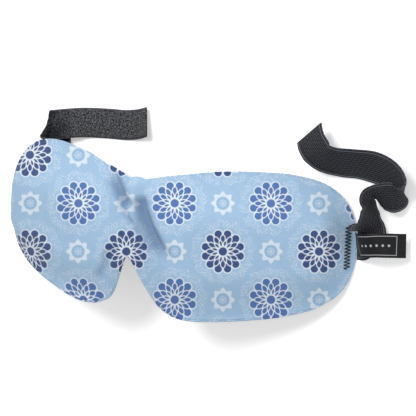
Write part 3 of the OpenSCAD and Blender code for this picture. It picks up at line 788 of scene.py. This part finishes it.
rim_end = 1 - (SEAM_D / 2 / HALF_GIRTH) ** (1 / END_SPREAD)
rc = col_shares(260, SEAM_D / 2)
rm_ = margin(rc, SEAM_D / 2)
end_v = np.linspace(rm_[-1], 1 - rm_[-1], 30)[1:-1]
path_c = np.concatenate([rc, np.full(len(end_v), rim_end), rc[::-1], np.full(len(end_v), -rim_end)])
path_v = np.concatenate([rm_, end_v, (1 - rm_)[::-1], end_v[::-1]])
rim, rim_n = rim_point(path_c, path_v)
keep = np.concatenate([[True], np.linalg.norm(np.diff(rim, axis=0), axis=1) > 0.12])
rim, rim_n = rim[keep], rim_n[keep]
along = np.concatenate([[0], np.cumsum(np.linalg.norm(np.diff(rim, axis=0), axis=1))])
tan = unit(np.roll(rim, -1, 0) - np.roll(rim, 1, 0))
out_dir = unit(np.cross(tan, rim_n))
SIDES = 14
ang = np.arange(SIDES) * 2 * math.pi / SIDES
STITCH_PITCH = 3.1
thick = (SEAM_D / 2) * (1 + 0.07 * np.sin(along * 2 * math.pi / STITCH_PITCH)
                        + 0.06 * value_noise(along / 2.5, along * 0, 8))
roll = rim[:, None] + thick[:, None, None] * (np.cos(ang)[None, :, None] * out_dir[:, None]
                                              + np.sin(ang)[None, :, None] * rim_n[:, None])
roll_px = frame_px(roll) / 100
side = np.repeat((0.5 - 0.5 * np.sin(ang + 0.35))[None], len(rim), 0)
roll_uv = {"print": roll_px.reshape(-1, 2),
           "cloth": np.stack(np.broadcast_arrays(along[:, None], ang[None] * SEAM_D / 2), -1).reshape(-1, 2),
           "side": np.stack([side, side], -1).reshape(-1, 2), "fold": np.zeros((len(rim) * SIDES, 2))}
faces = rings_mesh(roll, closed=True)
edge = add_mesh("turned_edge", roll.reshape(-1, 3), faces, M_EDGE, roll_uv)
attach(edge, "mask")
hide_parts("edge_seam")


# Bar tacks: one zigzag of thread through the temple seam, front and back
TEETH, TOOTH_STEPS, TACK_IN, TACK_HALF_W, TACK_FROM, TACK_L = 13, 14, 4.6, 1.4, 3, 22
THREAD_R, THREAD_SIDES, THREAD_OUT = 0.26, 7, 0.22


def tack(name, node, side_sign):
    n = TEETH * TOOTH_STEPS
    i = np.arange(n + 1)
    tri = 2 * np.abs(2 * ((i / TOOTH_STEPS + 0.25) % 1) - 1) - 1
    wave = np.clip(tri * 1.25, -1, 1)
    s = HALF_GIRTH - TACK_IN + TACK_HALF_W * wave
    k = share_of(s)
    h = TACK_FROM + TACK_L * i / n
    v = (h - edge_at(LOW, k)) / (edge_at(TOP, k) - edge_at(LOW, k))
    c = side_sign * k
    sk, nr = skin(c, v), normal(c, v)
    foam_here = foam_at(v, edge_at(TOP, k) - edge_at(LOW, k), s)
    verts, faces = [], []
    for depth in (THREAD_OUT, -(COVER_T + LINING_T + foam_here + THREAD_OUT)):
        pts = rest(sk + nr * np.broadcast_to(depth, n + 1)[:, None])
        r = THREAD_R * (1 + 0.12 * np.sin(i * 2.1))
        ring = tube(pts, r, THREAD_SIDES)
        faces += rings_mesh(ring, offset=len(verts) * THREAD_SIDES)
        verts += list(ring)
    ob = add_mesh(name, np.concatenate(verts), faces, M_THREAD)
    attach(ob, "mask")
    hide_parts(node)


tack("bar_tack_right", "right_bar_tack", 1)
tack("bar_tack_left", "left_bar_tack", -1)

# ---------- the strap ----------
strap = Ribbon(STRAP_ROUTE)


def ribbed_profile(width, thick, ribs, depth):
    """Closed outline of a tape with fine lengthwise ribs on both faces and rounded selvages."""
    y = np.linspace(-width / 2, width / 2, ribs * 4 + 1)
    edge_drop = np.clip((np.abs(y) - (width / 2 - 0.55)) / 0.55, 0, 1)
    half = thick / 2 - depth + depth * np.cos((y + width / 2) * 2 * math.pi * ribs / width)
    half = half * np.sqrt(1 - 0.8 * edge_drop ** 2)
    top, low = np.stack([y, half], 1), np.stack([y[::-1], -half[::-1]], 1)
    return np.concatenate([top, low])


def turned(faces):
    return [f[::-1] for f in faces]


def tape(name, ribbon, lengths, profile, mat):
    """Tape along a ribbon, with its uv in mm: x across, y along."""
    rings = ribbon.rings(lengths, profile)
    n, m = rings.shape[:2]
    q = np.broadcast_to(np.asarray(profile, float), (n, m, 2))
    uv = np.stack([q[..., 0], np.repeat(np.asarray(lengths)[:, None], m, 1)], -1).reshape(-1, 2)
    return add_mesh(name, rings.reshape(-1, 3), turned(rings_mesh(rings)), mat, {"cloth": uv})


prof = ribbed_profile(STRAP_W, STRAP_T, RIBS, 0.1)
band = tape("elastic_band", strap, np.linspace(0, strap.length, 360), prof, M_ELASTIC)
STRAP_HINGE = np.array([107.0, 21.0, 2.0]) + PLACE
bend_from, bend_to = STRAP_HINGE + [0.9, 0, 0], STRAP_HINGE + [6.0, 0, 0]
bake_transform(band)
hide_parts("elastic_strap")

# Hook patch: a moulded base with rows of small hooks
PATCH_L, PATCH_BASE, PATCH_IN = 24.0, 0.35, 1.5
HOOK_ROWS, HOOKS_A_ROW, HOOK_IN = 16, 11, 0.8
p0, p1 = strap.length - PATCH_IN - PATCH_L, strap.length - PATCH_IN
half_w = STRAP_W / 2 - PATCH_IN
base_z0, base_z1 = -STRAP_T / 2, -STRAP_T / 2 - PATCH_BASE     # on the face that is underneath
box_prof = [(half_w, base_z0), (half_w, base_z1 + 0.1), (half_w - 0.15, base_z1), (-half_w + 0.15, base_z1),
            (-half_w, base_z1 + 0.1), (-half_w, base_z0)]
rings = strap.rings(np.linspace(p0, p1, 60), box_prof)
verts, faces = [rings.reshape(-1, 3)], turned(rings_mesh(rings))
count = rings.shape[0] * rings.shape[1]
for row, s in enumerate(np.linspace(p0 + HOOK_IN, p1 - HOOK_IN, HOOK_ROWS)):
    c, t, w, n = (q[0] for q in strap.frames(np.array([s])))
    for y in np.linspace(-half_w + HOOK_IN, half_w - HOOK_IN, HOOKS_A_ROW):
        way = t * (1 if row % 2 else -1)
        foot = c + y * w + base_z1 * n
        arc = [foot + 0.02 * n, foot - 0.36 * n, foot - 0.6 * n + 0.1 * way, foot - 0.68 * n + 0.3 * way,
               foot - 0.56 * n + 0.44 * way]
        ring = tube(arc, [0.16, 0.13, 0.12, 0.11, 0.08], 5, w)
        faces += rings_mesh(ring, offset=count)
        verts.append(ring.reshape(-1, 3))
        count += ring.shape[0] * ring.shape[1]
patch = add_mesh("hook_tape", np.concatenate(verts), faces, M_HOOK)
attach(patch, "strap")
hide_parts("hook_patch")

# Stitches of the patch: arches of thread on both faces of the strap
ROW_IN, STITCH_IN, STITCH_GAP, STITCH_HALF = 1.2, 1.6, 2.5, 0.8
verts, faces, count = [], [], 0
for y in (-half_w + ROW_IN, half_w - ROW_IN):
    for s in np.arange(p0 + STITCH_IN, p1 - STITCH_IN, STITCH_GAP):
        for z0, sign in ((base_z1, -1), (STRAP_T / 2, 1)):
            q = np.linspace(-STITCH_HALF, STITCH_HALF, 7)
            c, t, w, n = strap.frames(s + q)
            lift = (0.18 * np.cos(q / STITCH_HALF * math.pi / 2) - 0.05) * sign
            ring = tube(c + y * w + (z0 + lift)[:, None] * n, 0.17, 6, w[0])
            faces += rings_mesh(ring, offset=count)
            verts.append(ring.reshape(-1, 3))
            count += ring.shape[0] * ring.shape[1]
stitches = add_mesh("patch_stitches", np.concatenate(verts), faces, M_THREAD)
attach(stitches, "strap")
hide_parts("hook_patch_stitches")

# ---------- the loop-tape tab ----------
TAB_GROUND, TAB_PILE, PILE_IN = 0.5, 1.0, 0.6
back_z = -(TAB_GROUND + TAB_PILE) / 2
tab = Ribbon(TAB_ROUTE)
FOLD_ROW, PILE_ROW = 4.0, 7.0       # rows of the route: the fold's outermost line, and where the pile starts
split = float(np.interp(FOLD_ROW, tab.us, tab.ls))
pile_from = float(np.interp(PILE_ROW, tab.us, tab.ls))


def ground_profile(z0, z1, half):
    """Outline of the tape's ground, with its selvages eased."""
    return [(-half, z0 + 0.15), (-half + 0.2, z0), (0, z0), (half - 0.2, z0), (half, z0 + 0.15),
            (half, z1 - 0.1), (half - 0.2, z1), (0, z1), (-half + 0.2, z1), (-half, z1 - 0.1)][::-1]


foot_z = back_z + TAB_GROUND
g_prof = ground_profile(back_z, foot_z, TAB_W / 2)
ground = tape("tape_ground", tab, np.linspace(split, tab.length, 260), g_prof, M_BACK)
root = tape("tape_root", tab, np.linspace(0.2, split, 30), g_prof, M_BACK)
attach(ground, "tab")
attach(root, "mask")
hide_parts("loop_tab_ground")

PILE_ACROSS, PILE_ALONG, PILE_EDGE, LUMPS = 66, 420, 0.5, 0.32
ph = TAB_W / 2 - PILE_IN
pl = np.linspace(pile_from, tab.length - 0.1, PILE_ALONG)
c, t, w, n = tab.frames(pl)
YY, LL = np.meshgrid(np.linspace(-ph, ph, PILE_ACROSS), pl)
drop = np.clip((np.abs(YY) - (ph - PILE_EDGE)) / PILE_EDGE, 0, 1)
lump = 0.13 * value_noise(YY * 1.9, LL * 1.9, 11) + 0.12 * value_noise(YY * 4.1, LL * 4.1, 12)
lump = lump + 0.05 * rng.standard_normal(YY.shape)
z_top = foot_z + (TAB_PILE - LUMPS + lump) * np.sqrt(1 - 0.85 * drop ** 2)
top = c[:, None] + YY[..., None] * w[:, None] + z_top[..., None] * n[:, None]
low = c[:, None] + YY[..., None] * w[:, None] + foot_z * n[:, None]
rings = np.concatenate([top, low[:, ::-1]], 1)
uv = np.stack([YY, LL], -1)
uv = np.concatenate([uv, uv[:, ::-1]], 1).reshape(-1, 2)
pile = add_mesh("loop_pile", rings.reshape(-1, 3), turned(rings_mesh(rings)), M_LOOP, {"cloth": uv})
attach(pile, "tab")
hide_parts("loop_tab_pile")

# Loose loops that stand out of the pile and give it a fuzzy outline
LOOPS, EDGE_SHARE = 2600, 0.35
verts, faces, count = [], [], 0
ls_ = rng.uniform(pile_from + 1, tab.length - 0.6, LOOPS)
ys_ = rng.uniform(-ph, ph, LOOPS)
edgy = rng.random(LOOPS) < EDGE_SHARE
ys_[edgy] = np.sign(ys_[edgy]) * rng.uniform(ph - PILE_EDGE, ph, edgy.sum())
c, t, w, n = tab.frames(ls_)
turn_by = rng.uniform(0, 2 * math.pi, LOOPS)
for i in range(LOOPS):
    d = math.cos(turn_by[i]) * t[i] + math.sin(turn_by[i]) * w[i]
    if edgy[i]:
        d = d * 0.5 + np.sign(ys_[i]) * w[i] * 0.5
    foot = c[i] + ys_[i] * w[i] + (foot_z + 0.5) * n[i]
    hh, ww = rng.uniform(0.25, 0.5), rng.uniform(0.25, 0.5)
    arc = [foot, foot + (0.25 * ww) * d + hh * 0.75 * n[i], foot + (0.7 * ww) * d + hh * n[i],
           foot + ww * 1.1 * d + hh * 0.55 * n[i]]
    ring = tube(arc, [0.05, 0.06, 0.06, 0.045], 3, np.cross(d, n[i]))
    faces += rings_mesh(ring, offset=count)
    verts.append(ring.reshape(-1, 3))
    count += ring.shape[0] * ring.shape[1]
fuzz = add_mesh("pile_fuzz", np.concatenate(verts), faces, M_FUZZ, smooth=False)
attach(fuzz, "tab")

# ---------- the label ----------
LABEL_W, LABEL_T = 12.0, 0.5
lab = Ribbon(LABEL_ROUTE)
PLY = 0.2
across = np.linspace(-LABEL_W / 2, LABEL_W / 2, 25)
ll = np.linspace(0, lab.length - LABEL_T / 2, 110)
c, t, w, n = lab.frames(ll)
ripple = 0.05 * np.sin(ll * 0.9)[:, None] * np.cos(across * 0.5)[None]
upper_out = c[:, None] + across[None, :, None] * w[:, None] + (LABEL_T / 2 + ripple)[..., None] * n[:, None]
upper_in = upper_out - PLY * n[:, None]
lower_out = c[:, None] + across[None, :, None] * w[:, None] + (-LABEL_T / 2 + ripple)[..., None] * n[:, None]
lower_in = lower_out + PLY * n[:, None]
te, ne, ce, we = t[-1], n[-1], c[-1], w[-1]
BEND = np.radians(np.arange(22.5, 180, 22.5))       # steps round the fold at the label's end


def bend(r):
    return np.array([ce + across[:, None] * we + r * (math.sin(a) * te + math.cos(a) * ne) for a in BEND])


outer = np.concatenate([upper_out, bend(LABEL_T / 2), lower_out[::-1]])
inner = np.concatenate([upper_in, bend(LABEL_T / 2 - PLY), lower_in[::-1]])
rings = np.concatenate([outer, inner[:, ::-1]], 1)
dist = np.concatenate([ll, np.full(len(BEND), ll[-1] + PLY), ll[::-1]])
uv = np.stack(np.broadcast_arrays(across[None], dist[:, None]), -1)
uv = np.concatenate([uv, uv[:, ::-1]], 1).reshape(-1, 2)
label = add_mesh("label_flap", rings.reshape(-1, 3), turned(rings_mesh(rings)), M_LABEL, {"cloth": uv})
bend_from = np.array(LABEL_ROUTE[0][0]) + PLACE
bend_to = bend_from + [3.0, 0, 3.5]
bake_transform(label)
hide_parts("woven_label")

# ---------- floor, light and world ----------
FLOOR = 3                   # half its side, m
floor_me = bpy.data.meshes.new("floor")
floor_me.from_pydata([(-FLOOR, -FLOOR, 0), (FLOOR, -FLOOR, 0), (FLOOR, FLOOR, 0), (-FLOOR, FLOOR, 0)], [],
                     [(0, 1, 2, 3)])
g = Graph("pale_floor", roughness=0.9, specular=0.0, colour=(244, 244, 246))
g.bsdf.inputs["Emission Color"].default_value = (1, 1, 1, 1)
g.bsdf.inputs["Emission Strength"].default_value = 0.42      # an evenly lit white table
floor_me.materials.append(g.mat)
floor = bpy.data.objects.new("floor", floor_me)
bpy.context.scene.collection.objects.link(floor)
floor.location.z = min(0.0, cad_box[0][2]) - 0.0002


def area_light(name, place, power, size):
    """Round soft light at place (m), turned to the mask."""
    d = bpy.data.lights.new(name, "AREA")
    d.energy, d.size, d.shape = power, size, "DISK"
    ob = bpy.data.objects.new(name, d)
    bpy.context.scene.collection.objects.link(ob)
    ob.location = place
    ob.rotation_euler = (Vector((0, 0, 0.02)) - Vector(place)).to_track_quat("-Z", "Y").to_euler()


area_light("key", (-0.1, 0.62, 1.2), 12.5, 0.6)
area_light("fill", (0.95, -0.1, 1.0), 1.6, 1.0)
world = bpy.data.worlds.new("world")
world.use_nodes = True
world.node_tree.nodes["Background"].inputs[0].default_value = (1, 1, 1, 1)
world.node_tree.nodes["Background"].inputs[1].default_value = 0.42
bpy.context.scene.world = world
bpy.context.scene.view_settings.view_transform = "Standard"
